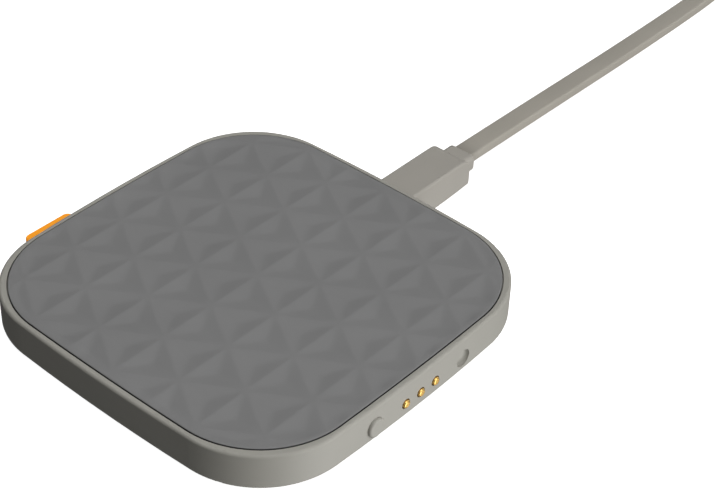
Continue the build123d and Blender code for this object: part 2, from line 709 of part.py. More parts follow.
def make_plug_shell():
    wall = PLUG_SHELL_WALL
    outer = d_profile(PLUG_SHELL_W, PLUG_SHELL_H, PLUG_CHAMFER)
    inner = d_profile(PLUG_SHELL_W - 2 * wall, PLUG_SHELL_H - 2 * wall, PLUG_CHAMFER - wall / 2)
    shell = along_y(outer, PORT_X, PORT_Z, PLUG_SHELL_Y0, PLUG_BODY_Y0)
    return shell - along_y(inner, PORT_X, PORT_Z, PLUG_SHELL_Y0 - CUT, PLUG_BODY_Y0 - PLUG_SHELL_DEPTH)


def make_plug_insert():
    """Plastic carrier for the contacts, in the lower half of the plug's shell."""
    bottom = PORT_Z - PLUG_SHELL_H / 2 + PLUG_SHELL_WALL + CLOSE_FIT
    half_w = PLUG_SHELL_W / 2 - PLUG_CHAMFER - PLUG_INSERT_SIDE_GAP
    y0 = PLUG_SHELL_Y0 + PLUG_INSERT_SET_BACK
    y1 = PLUG_BODY_Y0 - PLUG_SHELL_DEPTH - CLOSE_FIT
    return block(PORT_X - half_w, PORT_X + half_w, y0, y1, bottom, bottom + PLUG_INSERT_T)


# ---- flat lead ---------------------------------------------------------------------------------
def make_cable():
    """Flat along the surface, then a quarter twist that stands it on edge for winding."""
    radii = corner_radii(CABLE_ROUTE)
    print("lead radii", [round(r, 1) for r in radii])
    path = FilletPolyline(*CABLE_ROUTE, radius=radii)
    start = Plane(origin=path @ 0, x_dir=(1, 0, 0), z_dir=path % 0)
    flat = sweep(start * RectangleRounded(CABLE_W, CABLE_T, CABLE_EDGE_R), path=path)
    start_x, start_y, _ = CABLE_ROUTE[-1]
    run = COIL_Y - start_y
    sections = []
    for share in twist_shares():
        lift = CABLE_REST_Z + (COIL_REST_Z - CABLE_REST_Z) * share
        middle = (start_x, start_y + run * share, resting_height(90 * share) + lift)
        sections.append(cable_section(middle, (0, 1, 0), 90 * share))
    twist = loft(sections, ruled=True)
    section = RectangleRounded(CABLE_W, CABLE_T, CABLE_EDGE_R).area
    print("flat part volume / (section x length)", round(flat.volume / (section * path.length), 4))
    print("twisted part volume / (section x length)", round(twist.volume / (section * run), 4))
    return flat + twist, path.length + run


def make_cable_coil():
    """Outer shape of the wound lead: a ring of two layers of turns standing on edge."""
    inner = PACK_INNER_R - CABLE_T / 2 - PACK_GAP
    outer = PACK_OUTER_R + CABLE_T / 2 + PACK_GAP
    top = UPPER_Z + CABLE_W / 2
    ring = post(PACK_X, COIL_Y, outer, COIL_REST_Z, top)
    ring -= post(PACK_X, COIL_Y, inner, COIL_REST_Z - CUT, top + CUT)
    lower = 2 * pi * LAYER_TURNS * (PACK_OUTER_R + PACK_INNER_R) / 2
    rise = sqrt((2 * pi * RISE_TURNS * PACK_INNER_R) ** 2 + LAYER_STEP ** 2)
    leaving_r = PACK_INNER_R + PACK_PITCH * UPPER_TURNS
    upper = 2 * pi * UPPER_TURNS * (PACK_INNER_R + leaving_r) / 2
    return ring, lower + rise + upper


def tail_frame():
    """Where the lead leaves its coil, and the level heading that it leaves on."""
    angle = radians(360 * (LAYER_TURNS + RISE_TURNS + UPPER_TURNS))
    radius = PACK_INNER_R + PACK_PITCH * UPPER_TURNS
    start = (PACK_X + radius * cos(angle), COIL_Y + radius * sin(angle), UPPER_Z)
    return start, (-sin(angle), cos(angle), 0)


def tail_end():
    start, heading = tail_frame()
    drop = UPPER_Z - SUPPLY_H / 2
    level = sqrt(TAIL_LENGTH ** 2 - drop ** 2)
    return [start[0] + heading[0] * level, start[1] + heading[1] * level, SUPPLY_H / 2]


def make_cable_tail():
    """From the upper layer down to the supply plug, turning back to lie flat."""
    start, heading = tail_frame()
    end = tail_end()
    shares = twist_shares()
    sections = [cable_section(between(start, end, s), heading, 90 * (1 - s)) for s in shares]
    return loft(sections, ruled=True)


def make_cable_tie():
    """Strap around the turns, which the coil rests on."""
    angle = radians(TIE_ANGLE)
    ring_inner = PACK_INNER_R - CABLE_T / 2 - PACK_GAP
    inner = sqrt(ring_inner ** 2 - (TIE_W / 2) ** 2) - PACK_GAP
    outer = PACK_OUTER_R + CABLE_T / 2 + 2 * PACK_GAP
    z0 = COIL_REST_Z - PACK_GAP
    z1 = UPPER_Z + CABLE_W / 2 + PACK_GAP
    middle = (inner + outer) / 2
    strap = Box(outer - inner + 2 * TIE_T, TIE_W, z1 - z0 + 2 * TIE_T)
    strap = fillet(strap.edges().filter_by(Axis.Y), TIE_T)
    strap -= Box(outer - inner, TIE_W + CUT, z1 - z0)
    at = Pos(PACK_X + middle * cos(angle), COIL_Y + middle * sin(angle), (z0 + z1) / 2)
    return at * Rot(0, 0, TIE_ANGLE) * strap


# ---- supply plug -------------------------------------------------------------------------------
def supply_place():
    """Local frame of the supply plug: Y runs along the plug, from the lead to the metal tip."""
    heading = tail_frame()[1]
    turn = degrees(atan2(-heading[0], heading[1]))
    x, y, z = tail_end()
    return Pos(x, y, z) * Rot(0, 0, turn)


def make_supply_collar():
    outline = RectangleRounded(COLLAR_W, COLLAR_H, COLLAR_EDGE_R)
    collar = along_y(outline, 0, 0, 0, SUPPLY_COLLAR_L)
    return supply_place() * fillet(collar.edges().group_by(Axis.Y)[0], COLLAR_REAR_R)


def make_supply_body():
    y0 = SUPPLY_COLLAR_L
    y1 = y0 + SUPPLY_L
    body = block(-SUPPLY_W / 2, SUPPLY_W / 2, y0, y1, -SUPPLY_H / 2, SUPPLY_H / 2)
    body = fillet(body.edges().filter_by(Axis.Z).group_by(Axis.Y)[0], SUPPLY_CORNER_R)
    level = [e for e in body.edges() if abs(e.center().Z) > SUPPLY_H / 4]
    around = [e for e in level if e.center().Y < y1 - CLOSE_FIT]
    return supply_place() * fillet(around, SUPPLY_EDGE_R)


def supply_shell_ends():
    y0 = SUPPLY_COLLAR_L + SUPPLY_L
    return y0, y0 + SUPPLY_SHELL_L


def make_supply_shell():
    """Metal shell with two square windows in its upper wall."""
    y0, y1 = supply_shell_ends()
    inner_w = SUPPLY_SHELL_W - 2 * SUPPLY_SHELL_WALL
    inner_h = SUPPLY_SHELL_H - 2 * SUPPLY_SHELL_WALL
    outer = RectangleRounded(SUPPLY_SHELL_W, SUPPLY_SHELL_H, SUPPLY_SHELL_R)
    inner = RectangleRounded(inner_w, inner_h, SUPPLY_SHELL_INNER_R)
    shell = along_y(outer, 0, 0, y0, y1) - along_y(inner, 0, 0, y0 + SUPPLY_SHELL_DEPTH, y1 + CUT)
    half = SUPPLY_WINDOW_W / 2
    far, near = SUPPLY_WINDOW_FROM_TIP
    for x in (-SUPPLY_WINDOW_X, SUPPLY_WINDOW_X):
        shell -= block(x - half, x + half, y1 - far, y1 - near, 0, SUPPLY_SHELL_H)
    return supply_place() * shell


def supply_insert_bottom():
    return CLOSE_FIT + SUPPLY_SHELL_WALL - SUPPLY_SHELL_H / 2


def make_supply_insert():
    y0, y1 = supply_shell_ends()
    y0 += SUPPLY_SHELL_DEPTH + CLOSE_FIT
    y1 -= SUPPLY_INSERT_SET_BACK
    half_w = SUPPLY_SHELL_W / 2 - SUPPLY_SHELL_WALL - SUPPLY_INSERT_SIDE_GAP
    bottom = supply_insert_bottom()
    return supply_place() * block(-half_w, half_w, y0, y1, bottom, bottom + SUPPLY_INSERT_T)


def make_supply_contacts():
    tip = supply_shell_ends()[1]
    y0, y1 = (tip - distance for distance in SUPPLY_CONTACT_FROM_TIP)
    z0 = supply_insert_bottom() + SUPPLY_INSERT_T
    strip = block(-SUPPLY_CONTACT_W / 2, SUPPLY_CONTACT_W / 2, y0, y1, z0, z0 + SUPPLY_CONTACT_T)
    return [supply_place() * Pos(x, 0, 0) * strip for x in SUPPLY_CONTACT_XS]


# ---- assembly ----------------------------------------------------------------------------------
def make_parts():
    cable, run_length = make_cable()
    coil, coil_length = make_cable_coil()
    print("lead length", round(run_length + coil_length + TAIL_LENGTH, 1))
    parts = {
        "housing": make_housing(),
        "base_cover": make_base_cover(),
        "base_pad": make_base_pad(),
        "top_mat": make_top_mat(),
        "mat_adhesive": make_mat_adhesive(),
        "cover_screws": make_cover_screws(),
        "charging_coil": make_charging_coil(),
        "ferrite_shield": make_ferrite_shield(),
        "coil_leads": make_coil_leads(),
        "thermistor": make_thermistor(),
        "main_board": make_main_board(),
        "board_screws": make_board_screws(),
        "controller_chip": chip(CONTROLLER_XY, CONTROLLER_W, CONTROLLER_W, CHIP_H),
        "bridge_chips": [chip(xy, BRIDGE_W, BRIDGE_W, CHIP_H) for xy in BRIDGE_XYS],
        "resonance_capacitors": [chip(xy, CAPACITOR_W, CAPACITOR_D, CAPACITOR_H) for xy in CAPACITOR_XYS],
        "power_inductor": make_power_inductor(),
        "pin_block": make_pin_block(),
        "pin_barrels": make_pin_barrels(),
        "dock_board": make_dock_board(),
        "dock_ribbon": make_dock_ribbon(),
        "docking_magnets": make_docking_magnets(),
        "tag": make_tag(),
        "socket_shell": make_socket_shell(),
        "socket_tongue": make_socket_tongue(),
        "plug_body": make_plug_body(),
        "plug_collar": make_plug_collar(),
        "plug_shell": make_plug_shell(),
        "plug_insert": make_plug_insert(),
        "cable": cable,
        "cable_coil": coil,
        "cable_tail": make_cable_tail(),
        "cable_tie": make_cable_tie(),
        "supply_collar": make_supply_collar(),
        "supply_body": make_supply_body(),
        "supply_shell": make_supply_shell(),
        "supply_insert": make_supply_insert(),
        "supply_contacts": make_supply_contacts(),
    }
    for number, y in enumerate(PIN_YS, start=1):
        parts[f"contact_pin_{number}"] = make_contact_pin(y)
        parts[f"pin_spring_{number}"] = make_pin_spring(y)
    return parts


os.makedirs("parts", exist_ok=True)
for name, shape in make_parts().items():
    pieces = shape if isinstance(shape, list) else [shape]
    solids = [solid for piece in pieces for solid in piece.solids()]
    export_step(Compound(children=solids), f"parts/{name}.step")
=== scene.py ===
from math import atan2, cos, pi, radians, sin, sqrt, tan

import bmesh
import bpy
from mathutils import Matrix, Vector


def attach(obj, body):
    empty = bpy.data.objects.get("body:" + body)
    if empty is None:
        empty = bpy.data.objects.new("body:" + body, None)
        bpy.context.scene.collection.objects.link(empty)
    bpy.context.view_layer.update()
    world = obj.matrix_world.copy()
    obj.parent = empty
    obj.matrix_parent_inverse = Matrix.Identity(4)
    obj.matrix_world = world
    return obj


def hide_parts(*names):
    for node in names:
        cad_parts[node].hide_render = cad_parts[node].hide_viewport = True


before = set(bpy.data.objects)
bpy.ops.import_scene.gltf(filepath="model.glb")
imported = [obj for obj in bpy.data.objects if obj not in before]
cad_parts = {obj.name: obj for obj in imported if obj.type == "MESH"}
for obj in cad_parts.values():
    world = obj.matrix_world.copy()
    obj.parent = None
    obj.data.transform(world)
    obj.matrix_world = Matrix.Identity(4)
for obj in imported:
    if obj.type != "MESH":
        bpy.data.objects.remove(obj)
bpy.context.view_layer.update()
MM = 0.001

# ---- sizes shared with the CAD model, in millimetres -------------------------------------------
OPENING_HALF = 46.1
OPENING_SIDE_ARC_R = 950.0
OPENING_CORNER_R = 22.8
MAT_GAP = 0.27
MAT_BOTTOM = 9.0
MAT_TOP = 9.95
CABLE_W = 5.6
CABLE_T = 2.8
CABLE_EDGE_R = 0.6
CABLE_EDGE_STEPS = 5


# ---- camera ------------------------------------------------------------------------------------
CAMERA_AZIMUTH = 0.689034706
CAMERA_ELEVATION = 0.663163018
CAMERA_ROLL = 0.0433824804
CAMERA_PLACE = (0.21312, -0.22301, 0.25991)
SENSOR_W = 36.0
LENS = 88.75
LENS_SHIFT = 0.5 / 720


def make_camera():
    """Camera at the fitted place; azimuth 0 looks along +Y."""
    azimuth, elevation, roll = CAMERA_AZIMUTH, CAMERA_ELEVATION, CAMERA_ROLL
    back = Vector((sin(azimuth) * cos(elevation), -cos(azimuth) * cos(elevation), sin(elevation)))
    right = (-back).cross(Vector((0, 0, 1))).normalized()
    up = right.cross(-back)
    turned_right = right * cos(roll) + up * sin(roll)
    turned_up = up * cos(roll) - right * sin(roll)
    data = bpy.data.cameras.new("camera")
    data.sensor_width = SENSOR_W
    data.lens = LENS
    data.shift_x = -LENS_SHIFT
    data.shift_y = LENS_SHIFT
    camera = bpy.data.objects.new("camera", data)
    bpy.context.scene.collection.objects.link(camera)
    place = Matrix((turned_right, turned_up, back)).transposed().to_4x4()
    place.translation = CAMERA_PLACE
    camera.matrix_world = place
    bpy.context.scene.camera = camera


make_camera()


# ---- mesh helpers ------------------------------------------------------------------------------
def link(name, mesh):
    piece = bpy.data.objects.new(name, mesh)
    bpy.context.scene.collection.objects.link(piece)
    return piece


def mesh_piece(name, vertices, faces, material):
    """Smooth-shaded piece from vertices in millimetres."""
    mesh = bpy.data.meshes.new(name)
    mesh.from_pydata([Vector(v) * MM for v in vertices], [], faces)
    mesh.validate()
    mesh.polygons.foreach_set("use_smooth", [True] * len(mesh.polygons))
    mesh.materials.append(material)
    return link(name, mesh)


def swept_faces(rows, ring):
    """Faces of a closed section of ring points swept through a number of rows, with both ends shut."""
    faces = []
    for row in range(rows - 1):
        for k in range(ring):
            a, b = row * ring + k, row * ring + (k + 1) % ring
            faces.append((a, b, b + ring, a + ring))
    faces.append(tuple(reversed(range(ring))))
    faces.append(tuple(range((rows - 1) * ring, rows * ring)))
    return faces


# ---- the lead ----------------------------------------------------------------------------------
LEAD_ROUTE = [
    (0.1, 73.85, 4.8),
    (0.05, 93.0, 4.4),
    (-0.7, 121.0, 2.9),
    (-1.4, 151.0, 1.42),
    (-1.4, 187.0, 1.42),
    (-1.4, 203.0, 2.9),
]
COIL_CENTRE = (-33.0, 224.0)
COIL_R = 31.6
COIL_PITCH = 2.95
LOWER_Z, UPPER_Z = 3.5, 9.2
COIL_STEP = 15.0         # degrees between the coil's points
LOWER_END = 720.0        # degrees at which the lower layer, the climb and the upper layer end
RISE_END = 900.0
COIL_END = 1605.0
CLIMB_INSET = 0.7        # how far the climb swings inside the layers
TAIL_LENGTH = 53.74
TAIL_END_Z = 3.9
TWIST_START = 113.2      # lengths along the lead between which it turns on its edge
TWIST_END = 150.3
TAIL_TWIST_STOP = 3.0    # it lies flat again this far before its end


def smooth_step(value, low, high):
    share = min(max((value - low) / (high - low), 0.0), 1.0)
    return share * share * (3 - 2 * share)


def coil_radius(angle):
    """Two turns inwards, a climb inside them, then two turns outwards on top."""
    if angle <= LOWER_END:
        return COIL_R - COIL_PITCH * angle / 360
    inner = COIL_R - COIL_PITCH * LOWER_END / 360
    if angle <= RISE_END:
        return inner - CLIMB_INSET * sin(pi * (angle - LOWER_END) / (RISE_END - LOWER_END))
    return inner + COIL_PITCH * (angle - RISE_END) / 360


def lead_points():
    """The route's points: the flat stretch, the coil's turns and the tail to the supply plug."""
    points = list(LEAD_ROUTE)
    grow = 1 / cos(radians(COIL_STEP / 2))
    half_side = COIL_R * tan(radians(COIL_STEP / 2))
    points.append((LEAD_ROUTE[-1][0], COIL_CENTRE[1] - half_side, LOWER_Z))
    angle = COIL_STEP / 2
    while angle < COIL_END:
        radius = coil_radius(angle) * grow
        z = LOWER_Z + (UPPER_Z - LOWER_Z) * smooth_step(angle, LOWER_END, RISE_END)
        turn = radians(angle)
        points.append((COIL_CENTRE[0] + radius * cos(turn), COIL_CENTRE[1] + radius * sin(turn), z))
        angle += COIL_STEP
    turn = radians(COIL_END)
    radius = coil_radius(COIL_END)
    start = (COIL_CENTRE[0] + radius * cos(turn), COIL_CENTRE[1] + radius * sin(turn))
    for distance, z in ((half_side, UPPER_Z), (20.0, 8.7), (38.0, 5.0), (TAIL_LENGTH, TAIL_END_Z)):
        points.append((start[0] - distance * sin(turn), start[1] + distance * cos(turn), z))
    return points


def spline_centres(points):
    """Points along the smooth curve that the route's points control."""
    data = bpy.data.curves.new("route", "CURVE")
    data.dimensions = "3D"
    spline = data.splines.new("NURBS")
    spline.points.add(len(points) - 1)
    for target, point in zip(spline.points, points):
        target.co = (*(c * MM for c in point), 1.0)
    spline.order_u = 3
    spline.use_endpoint_u = True
    spline.resolution_u = 6
    carrier = bpy.data.objects.new("route", data)
    mesh = bpy.data.meshes.new_from_object(carrier)
    centres = [v.co / MM for v in mesh.vertices]
    bpy.data.meshes.remove(mesh)
    bpy.data.objects.remove(carrier)
    bpy.data.curves.remove(data)
    return centres


def rounded_rectangle(width, height, radius, steps):
    """Points around a rounded rectangle, counter-clockwise."""
    points = []
    for quarter in range(4):
        middle_x = (width / 2 - radius) * (1 if quarter in (0, 3) else -1)
        middle_y = (height / 2 - radius) * (1 if quarter in (0, 1) else -1)
        for step in range(steps + 1):
            angle = pi / 2 * (quarter + step / steps)
            points.append((middle_x + radius * cos(angle), middle_y + radius * sin(angle)))
    return points


def make_lead(material):
    """Flat jacket swept along the route, on its edge in the coil; returns the piece and its centres."""
    centres = spline_centres(lead_points())
    along = [0.0]
    for a, b in zip(centres, centres[1:]):
        along.append(along[-1] + (b - a).length)
    total = along[-1]
    section = rounded_rectangle(CABLE_W, CABLE_T, CABLE_EDGE_R, CABLE_EDGE_STEPS)
    vertices = []
    for index, centre in enumerate(centres):
        ahead = centres[min(index + 1, len(centres) - 1)]
        behind = centres[max(index - 1, 0)]
        heading = (ahead - behind).normalized()
        left = Vector((0, 0, 1)).cross(heading).normalized()
        up = heading.cross(left)
        here = along[index]
        onto_edge = smooth_step(here, TWIST_START, TWIST_END)
        back_flat = smooth_step(here, total - TAIL_LENGTH, total - TAIL_TWIST_STOP)
        twist = radians(90) * min(onto_edge, 1 - back_flat)
        wide = up * sin(twist) - left * cos(twist)
        thick = heading.cross(wide)
        vertices += [centre + wide * x + thick * y for x, y in section]
    faces = swept_faces(len(centres), len(section))
    return mesh_piece("lead_cable", vertices, faces, material), centres


# ---- materials ---------------------------------------------------------------------------------
def linear(colour):
    """Display colour, 0 to 255, to the renderer's own scale."""
    out = []
    for c in colour:
        c /= 255
        out.append(c / 12.92 if c <= 0.04045 else ((c + 0.055) / 1.055) ** 2.4)
    return (*out, 1.0)


MOTTLE_LOW = 0.3         # noise values that give the darkest and the lightest colour
MOTTLE_HIGH = 0.7
MOTTLE_DETAIL = 4.0
GRAIN_DETAIL = 2.0


def finish_of(material, colour, roughness, metallic=0.0, mottle=0.03, mottle_scale=60.0, grain_scale=2500.0,
              grain_depth=0.00001, roughness_swing=0.05, sockets=()):
    """Procedural finish: a mottled colour, an uneven gloss and a fine grain, its depth in metres."""
    material.use_nodes = True
    tree = material.node_tree
    tree.nodes.clear()
    nodes, links = tree.nodes, tree.links
    out = nodes.new("ShaderNodeOutputMaterial")
    shader = nodes.new("ShaderNodeBsdfPrincipled")
    links.new(shader.outputs["BSDF"], out.inputs["Surface"])
    where = nodes.new("ShaderNodeTexCoord").outputs["Object"]
    clouds = nodes.new("ShaderNodeTexNoise")
    clouds.inputs["Scale"].default_value = mottle_scale
    clouds.inputs["Detail"].default_value = MOTTLE_DETAIL
    links.new(where, clouds.inputs["Vector"])
    ramp = nodes.new("ShaderNodeValToRGB")
    dark = [c * (1 - mottle) for c in colour[:3]]
    light = [min(c * (1 + mottle), 1.0) for c in colour[:3]]
    ramp.color_ramp.elements[0].position = MOTTLE_LOW
    ramp.color_ramp.elements[0].color = (*dark, 1.0)
    ramp.color_ramp.elements[1].position = MOTTLE_HIGH
    ramp.color_ramp.elements[1].color = (*light, 1.0)
    links.new(clouds.outputs["Fac"], ramp.inputs["Fac"])
    links.new(ramp.outputs["Color"], shader.inputs["Base Color"])
    gloss = nodes.new("ShaderNodeMapRange")
    gloss.inputs["To Min"].default_value = roughness - roughness_swing
    gloss.inputs["To Max"].default_value = roughness + roughness_swing
    links.new(clouds.outputs["Fac"], gloss.inputs["Value"])
    links.new(gloss.outputs["Result"], shader.inputs["Roughness"])
    grain = nodes.new("ShaderNodeTexNoise")
    grain.inputs["Scale"].default_value = grain_scale
    grain.inputs["Detail"].default_value = GRAIN_DETAIL
    links.new(where, grain.inputs["Vector"])
    bump = nodes.new("ShaderNodeBump")
    bump.inputs["Strength"].default_value = 1.0
    bump.inputs["Distance"].default_value = grain_depth
    links.new(grain.outputs["Fac"], bump.inputs["Height"])
    links.new(bump.outputs["Normal"], shader.inputs["Normal"])
    shader.inputs["Metallic"].default_value = metallic
    for name, value in sockets:
        shader.inputs[name].default_value = value
    return material


def weave_of(material, threads, depth):
    """Add woven ribs, in two directions, under the grain; the depth is in metres."""
    tree = material.node_tree
    nodes, links = tree.nodes, tree.links
    where = next(n for n in nodes if n.type == "TEX_COORD").outputs["Object"]
    grain = next(n for n in nodes if n.type == "BUMP")
    ribs = []
    for axis in ("X", "Z"):
        wave = nodes.new("ShaderNodeTexWave")
        wave.bands_direction = axis
        wave.inputs["Scale"].default_value = threads
        links.new(where, wave.inputs["Vector"])
        ribs.append(wave)
    both = nodes.new("ShaderNodeMath")
    both.operation = "MULTIPLY"
    for socket, wave in zip(both.inputs, ribs):
        links.new(wave.outputs["Fac"], socket)
    bump = nodes.new("ShaderNodeBump")
    bump.inputs["Distance"].default_value = depth
    links.new(both.outputs["Value"], bump.inputs["Height"])
    links.new(bump.outputs["Normal"], grain.inputs["Normal"])


UPRIGHT = 0.3            # vertical part of the normal below which a surface counts as upright
LYING = 0.8              # and above which it counts as lying flat


def paint_edge_shade(material, share):
    """Painted shade: darken the colour where the surface is upright, a guess that deepens the dark line of
    shade in the gap beside the mat.
    """
    tree = material.node_tree
    nodes, links = tree.nodes, tree.links
    facing = next(n for n in nodes if n.type == "TEX_COORD").outputs["Normal"]
    shader = next(n for n in nodes if n.type == "BSDF_PRINCIPLED")
    face = shader.inputs["Base Color"].links[0].from_socket
    parts = nodes.new("ShaderNodeSeparateXYZ")
    links.new(facing, parts.inputs["Vector"])
    climb = nodes.new("ShaderNodeMapRange")
    for name, value in (("From Min", UPRIGHT), ("From Max", LYING), ("To Min", share), ("To Max", 1.0)):
        climb.inputs[name].default_value = value
    links.new(parts.outputs["Z"], climb.inputs["Value"])
    shaded = nodes.new("ShaderNodeVectorMath")
    shaded.operation = "SCALE"
    links.new(face, shaded.inputs["Vector"])
    links.new(climb.outputs["Result"], shaded.inputs["Scale"])
    links.new(shaded.outputs["Vector"], shader.inputs["Base Color"])


def material_of(name):
    """The material that the CAD nodes of this slot share, or a new one."""
    return bpy.data.materials.get(name) or bpy.data.materials.new(name)


# painted light: the orange tag is given a faint glow, though it is no lamp
# a guess that makes up for these lights, under which a plain orange comes out duller than in the photo
TAG_PAINTED_GLOW = (("Emission Color", linear((255, 150, 24))), ("Emission Strength", 0.3))
FINISHES = {
    "shell": dict(colour=linear((168, 166, 158)), roughness=0.55),
    "cover": dict(colour=linear((150, 148, 141)), roughness=0.6),
    "foot_rubber": dict(colour=linear((70, 70, 70)), roughness=0.75),
    "mat": dict(colour=linear((133, 133, 133)), roughness=0.6),
    "adhesive": dict(colour=linear((200, 198, 190)), roughness=0.4),
    "screw_steel": dict(colour=linear((170, 170, 172)), roughness=0.35, metallic=1.0),
    "copper": dict(colour=linear((196, 112, 70)), roughness=0.3, metallic=1.0),
    "ferrite": dict(colour=linear((60, 60, 62)), roughness=0.6),
    "bead": dict(colour=linear((60, 40, 30)), roughness=0.3),
    "circuit_board": dict(colour=linear((30, 90, 50)), roughness=0.4),
    "chip_black": dict(colour=linear((35, 35, 36)), roughness=0.5),
    "capacitor": dict(colour=linear((160, 130, 95)), roughness=0.4),
    "connector_black": dict(colour=linear((30, 30, 30)), roughness=0.5),
    "connector_white": dict(colour=linear((225, 224, 218)), roughness=0.45),
    "gold": dict(colour=linear((252, 208, 122)), roughness=0.4, metallic=1.0),
    "ribbon": dict(colour=linear((170, 100, 40)), roughness=0.35),
    "nickel": dict(colour=linear((190, 186, 178)), roughness=0.25, metallic=1.0),
    "tag_orange": dict(colour=linear((255, 168, 36)), roughness=0.5, sockets=TAG_PAINTED_GLOW),
    "connector_steel": dict(colour=linear((232, 232, 230)), roughness=0.45, metallic=1.0),
    "spring_steel": dict(colour=linear((180, 180, 182)), roughness=0.3, metallic=1.0),
    "plug_plastic": dict(colour=linear((171, 167, 159)), roughness=0.55),
    "cable_jacket": dict(colour=linear((170, 165, 155)), roughness=0.6),
    "tie_fabric": dict(colour=linear((60, 60, 62)), roughness=0.9),
}
MATERIALS = {name: finish_of(material_of(name), **finish) for name, finish in FINISHES.items()}

lead, lead_centres = make_lead(MATERIALS["cable_jacket"])


# ---- charging mat ------------------------------------------------------------------------------
STAR_COLUMN = 12.19      # across, between columns of stars
STAR_ROW = 14.54         # along a column, from star to star
PIT_DEPTH = 0.6
FACET_STEPS = 10         # steps along each side of a facet
RIDGE_SOFT = 0.035       # share of the depth over which ridges are rounded
VALLEY_SOFT = 0.05
SHOULDER = 0.22          # the mat's top stops this far in and rounds over to its side
SHOULDER_ANGLES = (30, 60, 90)
FADE_START = 0.3         # the relief starts this far inside the mat's edge
FADE_WIDTH = 2.6         # and has its full depth this far inside
EDGE_PAINTED_SHADE = 0.2      # painted shade: brightness of the mat's upright edge, as a share of the face's


def outline_numbers():
    """Distance from the middle to the side arcs' centres, and the corner arcs' centre coordinate."""
    back = OPENING_SIDE_ARC_R - OPENING_HALF
    reach = OPENING_SIDE_ARC_R - OPENING_CORNER_R
    corner = (sqrt(2 * reach**2 - back**2) - back) / 2
    return back, corner


BACK, CORNER = outline_numbers()
SIDE_R = OPENING_SIDE_ARC_R - MAT_GAP
BEND_R = OPENING_CORNER_R - MAT_GAP


def inside_by(x, y):
    """How far a point lies inside the mat's outline, and the outward direction there."""
    ax, ay = abs(x), abs(y)
    reached = []
    for centre_x, centre_y, radius in ((-BACK, 0.0, SIDE_R), (0.0, -BACK, SIDE_R), (CORNER, CORNER, BEND_R)):
        dx, dy = ax - centre_x, ay - centre_y
        span = sqrt(dx * dx + dy * dy) or 1.0
        if centre_x == CORNER:
            angle = atan2(dy, dx)
            join = atan2(CORNER, CORNER + BACK)
            if not join < angle < pi / 2 - join:
                continue
        reached.append((radius - span, dx / span, dy / span))
    depth, nx, ny = min(reached)
    return depth, (nx if x >= 0 else -nx), (ny if y >= 0 else -ny)


def soft_min(values, soft):
    """The smallest of some shares, rounded where two of them are close."""
    low = values[0]
    for value in values[1:]:
        mix = max(soft - abs(low - value), 0.0) / soft
        low = min(low, value) - mix * mix * soft / 4
    return low


def mat_height(shares, x, y):
    """Height of the relief, from a point's three shares in its triangle of stars."""
    slope = max(3 * soft_min(sorted(shares), VALLEY_SOFT), 0.0)
    slope = sqrt(slope * slope + RIDGE_SOFT**2) - RIDGE_SOFT
    fade = smooth_step(inside_by(x, y)[0], FADE_START, FADE_WIDTH)
    return MAT_TOP - PIT_DEPTH * slope * fade


def mat_triangles():
    """The triangles between neighbouring stars, over the whole mat."""
    columns = int(OPENING_HALF / STAR_COLUMN) + 2
    rows = int(OPENING_HALF / STAR_ROW) + 2
    for column in range(-columns, columns):
        for row in range(-rows, rows + 1):
            here = STAR_ROW / 2 * (column % 2)
            there = STAR_ROW / 2 * ((column + 1) % 2)
            low = [(column * STAR_COLUMN, here + (row + k) * STAR_ROW) for k in (0, 1)]
            shift = 1 if there < here else 0
            high = [((column + 1) * STAR_COLUMN, there + (row + shift + k) * STAR_ROW) for k in (-1, 0, 1)]
            yield low[0], high[1], low[1]
            yield low[0], high[0], high[1]


def make_mat(material):
    vertices, faces, known = [], [], {}

    def vertex(x, y, z):
        key = (round(x, 4), round(y, 4))
        if key not in known:
            known[key] = len(vertices)
            vertices.append((x, y, z))
        return known[key]

    def clip(corner_points):
        """Cut a small triangle to the outline; heights are the relief's."""
        depths = [inside_by(p[0], p[1])[0] - SHOULDER for p in corner_points]
        if max(depths) <= 0:
            return
        kept = []
        for k in range(3):
            p, q = corner_points[k], corner_points[(k + 1) % 3]
            dp, dq = depths[k], depths[(k + 1) % 3]
            if dp > 0:
                kept.append(vertex(*p))
            if (dp > 0) != (dq > 0):
                share = dp / (dp - dq)
                kept.append(vertex(*(a + (b - a) * share for a, b in zip(p, q))))
        kept = list(dict.fromkeys(kept))
        if len(kept) > 2:
            faces.append(tuple(kept))

    for stars in mat_triangles():
        if all(inside_by(*s)[0] < -STAR_ROW for s in stars):
            continue
        middle = tuple(sum(s[k] for s in stars) / 3 for k in (0, 1))
        for side in range(3):
            corners = (stars[side], stars[(side + 1) % 3], middle)
            grid = {}
            for i in range(FACET_STEPS + 1):
                for j in range(FACET_STEPS + 1 - i):
                    a, b = i / FACET_STEPS, j / FACET_STEPS
                    c = 1 - a - b
                    x, y = (a * corners[0][k] + b * corners[1][k] + c * corners[2][k] for k in (0, 1))
                    shares = (a + c / 3, b + c / 3, c / 3)
                    grid[i, j] = (x, y, mat_height(shares, x, y))
            for i in range(FACET_STEPS):
                for j in range(FACET_STEPS - i):
                    clip((grid[i, j], grid[i + 1, j], grid[i, j + 1]))
                    if i + j < FACET_STEPS - 1:
                        clip((grid[i + 1, j], grid[i + 1, j + 1], grid[i, j + 1]))
    piece = mesh_piece("charging_mat", vertices, faces, material)
    close_mat(piece.data)
    return piece


